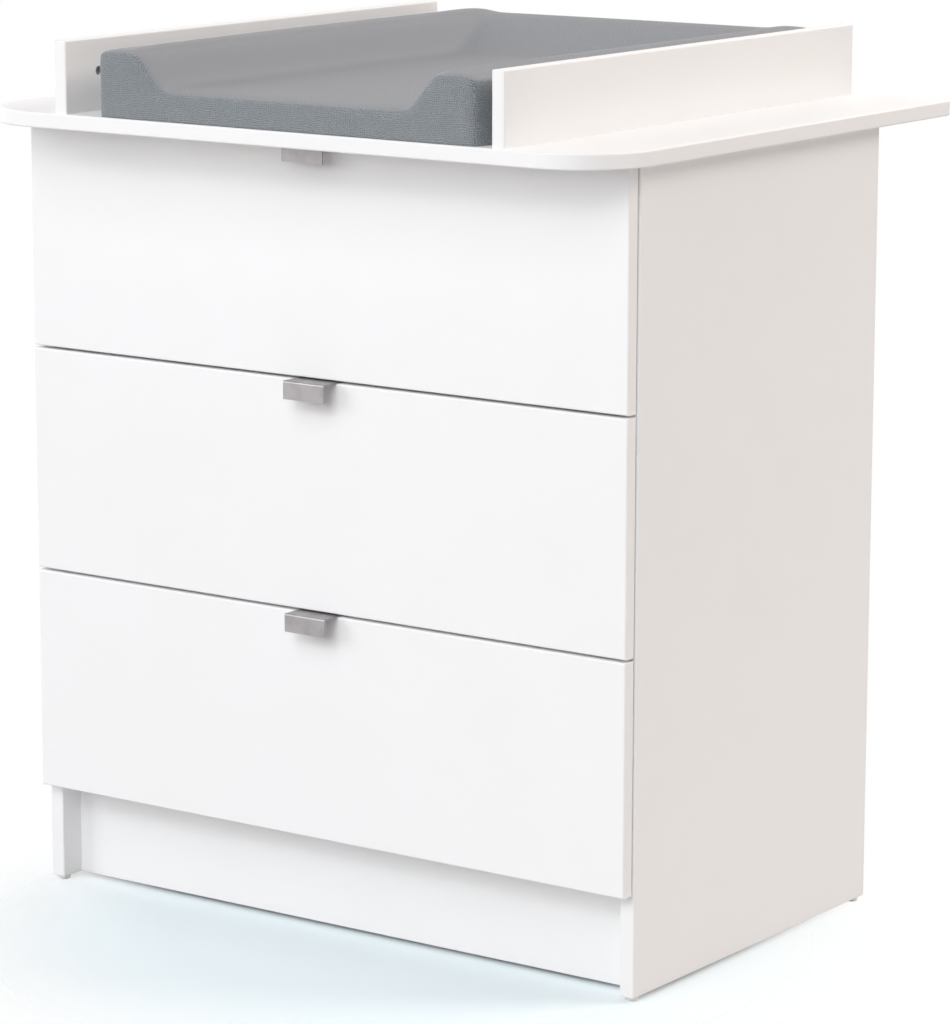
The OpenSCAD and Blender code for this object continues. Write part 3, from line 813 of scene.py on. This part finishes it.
    def _blow_up(self, cover: bpy.types.Object) -> None:
        """Simulates the cloth under pressure and keeps its shape, within the movement allowed.

        Args:
            cover: The cover with its even net.
        """
        start = self._places(cover.data)
        resting = cover.vertex_groups.new(name="resting")
        floor = self.low.z - self.sole + self.voxel
        resting.add(np.flatnonzero(start[:, 2] < floor).tolist(), 1.0, "REPLACE")
        cloth = cover.modifiers.new("cover", "CLOTH")
        cloth.settings.quality = self.quality
        cloth.settings.mass = self.mass
        cloth.settings.tension_stiffness = self.stretch_stiffness
        cloth.settings.compression_stiffness = self.stretch_stiffness
        cloth.settings.shear_stiffness = self.shear_stiffness
        cloth.settings.bending_stiffness = self.bending_stiffness
        cloth.settings.use_pressure = True
        cloth.settings.uniform_pressure_force = self.pressure
        cloth.settings.effector_weights.gravity = 0.0
        cloth.settings.vertex_group_mass = resting.name
        cloth.collision_settings.use_collision = False
        cloth.point_cache.frame_start = 1
        cloth.point_cache.frame_end = self.frames
        scene = bpy.context.scene
        for number in range(1, self.frames + 1):
            scene.frame_set(number)
        depsgraph = bpy.context.evaluated_depsgraph_get()
        blown = self._places(cover.evaluated_get(depsgraph).data)
        cover.modifiers.clear()
        cover.vertex_groups.clear()
        moved = self._even_out(cover.data, blown - start)
        length = np.linalg.norm(moved, axis=1, keepdims=True)
        moved *= np.minimum(1.0, self.most_swell / np.maximum(length, 1e-9))
        cover.data.vertices.foreach_set("co", (start + moved).ravel())
        scene.frame_set(1)

    def _lay_down(self, cover: bpy.types.Object) -> None:
        """Presses the sole flat on the top and stretches the cover evenly to the mat's space.

        Args:
            cover: The finished cover.
        """
        places = self._places(cover.data)
        places[:, 2] = np.maximum(places[:, 2], self.low.z)
        least, most = places.min(axis=0), places.max(axis=0)
        low, high = np.array(self.low), np.array(self.high)
        laid = low + (places - least) / (most - least) * (high - low)
        cover.data.vertices.foreach_set("co", laid.ravel())

    def build(self, finishes: dict[Slot, bpy.types.Material]) -> bpy.types.Object:
        """Makes the cover and puts it in the mat's place.

        Args:
            finishes: The material for each slot.

        Returns:
            The cover.
        """
        cover = bpy.data.objects.new("mat_cover", self._foam())
        bpy.context.scene.collection.objects.link(cover)
        self._remesh(cover)
        self._blow_up(cover)
        self._ease(cover, self.settling_steps)
        self._lay_down(cover)
        cover.data.materials.clear()
        cover.data.materials.append(finishes[Slot.MAT_FABRIC])
        for face in cover.data.polygons:
            face.use_smooth = True
        finer = cover.modifiers.new("finer", "SUBSURF")
        finer.levels = 1
        finer.render_levels = 1
        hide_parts("changing_mat")
        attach(cover, "mat")
        LOG.info("changing mat: cover with %d vertices", len(cover.data.vertices))
        return cover


# ---------- Studio ----------


@dataclass(frozen=True)
class SoftLight:
    """A square soft light that points at the object."""

    name: str
    place: Triple
    size: float
    power: float
    tint: Colour = (1.0, 1.0, 1.0)
    target: Triple = (0.0, 0.0, 0.5)

    def build(self) -> bpy.types.Object:
        """Puts up the light.

        Returns:
            The light object.
        """
        lamp = bpy.data.lights.new(self.name, "AREA")
        lamp.shape = "SQUARE"
        lamp.size = self.size
        lamp.energy = self.power
        lamp.color = self.tint
        light = bpy.data.objects.new(self.name, lamp)
        light.location = self.place
        aim = Vector(self.target) - Vector(self.place)
        light.rotation_euler = aim.to_track_quat("-Z", "Y").to_euler()
        bpy.context.scene.collection.objects.link(light)
        return light


LIGHTS = (
    SoftLight("key_light", place=(0.6, -6.4, 6.7), size=4.8, power=249.0, tint=(0.93, 0.975, 1.0)),
    SoftLight("front_light", place=(1.2, -7.2, 3.5), size=4.8, power=192.0, tint=(0.933, 0.98, 1.0)),
    SoftLight("left_light", place=(-4.8, -6.0, 3.3), size=4.0, power=181.0, tint=(0.95, 0.98, 1.0)),
    SoftLight("right_light", place=(5.6, 1.0, 0.75), size=1.6, power=26.0, tint=(1.0, 0.911, 0.838),
              target=(0.4, 0.0, 0.15)),
    SoftLight("back_light", place=(5.6, 4.4, 5.9), size=4.4, power=386.0, tint=(1.0, 0.955, 0.902)),
    SoftLight("left_fill", place=(-6.2, 1.2, 2.4), size=4.0, power=110.0),
    SoftLight("rear_fill", place=(-0.6, 6.6, 2.8), size=4.0, power=150.0),
)


@dataclass
class Studio:
    """The pale floor, the soft lights, the white surround and the camera."""

    # The floor: its tint to the eye and in bounced light, its radius, and where it fades out.
    floor_tint: Colour = colour("#effafe")
    floor_bounce: Colour = (0.55, 0.55, 0.55)
    floor_radius: float = 3.2
    fade_middle: tuple[float, float] = (0.04, -0.18)
    fade_start: float = 0.26
    fade_end: float = 0.56
    # The light that the surround sheds; to the eye it is white.
    surround: Colour = (0.21, 0.17, 0.155)
    # The camera: lens and sensor in millimetres, its place, its turn and tilt in degrees, its shift.
    lens: float = 149.92
    sensor: float = 36.0
    camera_place: Triple = (2.7323, -3.8345, 1.3752)
    camera_yaw: float = 35.85
    camera_pitch: float = -11.54
    shift: tuple[float, float] = (0.03994, 0.0198)

    def _surround(self) -> None:
        """Makes a world that looks white and lights the object softly."""
        world = bpy.data.worlds.new("surround")
        bpy.context.scene.world = world
        made = Shader(world)
        seen = made.seen_directly()
        lit = made.node("ShaderNodeBackground", inputs={"Color": self.surround, "Strength": 1.0})
        white = made.node("ShaderNodeBackground", inputs={"Color": (1.0, 1.0, 1.0), "Strength": 1.0})
        made.surface(made.node("ShaderNodeMixShader", inputs={0: seen, 1: lit, 2: white}))

    def _floor(self) -> bpy.types.Object:
        """Lays a round floor that shows only round the object's foot and fades into white.

        Returns:
            The floor.
        """
        made = bmesh.new()
        bmesh.ops.create_circle(made, cap_ends=True, segments=96, radius=self.floor_radius)
        mesh = bpy.data.meshes.new("floor")
        made.to_mesh(mesh)
        made.free()
        floor = bpy.data.objects.new("floor", mesh)
        bpy.context.scene.collection.objects.link(floor)
        shader = Shader.material("studio_floor")
        x, y, _ = shader.axes(shader.place())
        from_middle = ((x - self.fade_middle[0]) ** 2.0 + (y - self.fade_middle[1]) ** 2.0) ** 0.5
        seen = shader.seen_directly()
        mesh.materials.append(shader.surface(shader.principled(
            Base_Color=shader.mix(seen, self.floor_bounce, self.floor_tint),
            Roughness=0.9, Specular_IOR_Level=0.1,
            Alpha=1.0 - seen * from_middle.ramp(self.fade_start, self.fade_end))))
        return floor

    def _camera(self) -> None:
        """Sets up the camera, to the right of the front and a little above the top."""
        data = bpy.data.cameras.new("camera")
        data.sensor_width = self.sensor
        data.lens = self.lens
        data.shift_x, data.shift_y = self.shift
        camera = bpy.data.objects.new("camera", data)
        camera.location = self.camera_place
        turn = Matrix.Rotation(math.radians(self.camera_yaw), 4, "Z")
        tilt = Matrix.Rotation(math.radians(90 + self.camera_pitch), 4, "X")
        camera.rotation_euler = (turn @ tilt).to_euler()
        bpy.context.scene.collection.objects.link(camera)
        bpy.context.scene.camera = camera

    def build(self, lights: Iterable[SoftLight]) -> None:
        """Sets up everything round the object.

        Args:
            lights: The soft lights to put up.
        """
        bpy.context.scene.view_settings.view_transform = "Standard"
        self._surround()
        self._floor()
        self._camera()
        for light in lights:
            light.build()
            LOG.info("light: %s", light.name)


def main() -> None:
    """Builds the object's finishes and soft parts and the studio."""
    logging.basicConfig(level=logging.INFO, format="%(name)s: %(message)s")
    finishes = make_finishes()
    nodes = frame["nodes"]
    FramePieces("carcass", [name for name in nodes if not name.startswith(LEVELS)]).dress(finishes)
    for level in LEVELS:
        pieces = [name for name in nodes if name.startswith(level)]
        FramePieces(f"{level} drawer", pieces).dress(finishes)
    ChangingMat().build(finishes)
    Studio().build(LIGHTS)


if __name__ == "__main__":
    main()
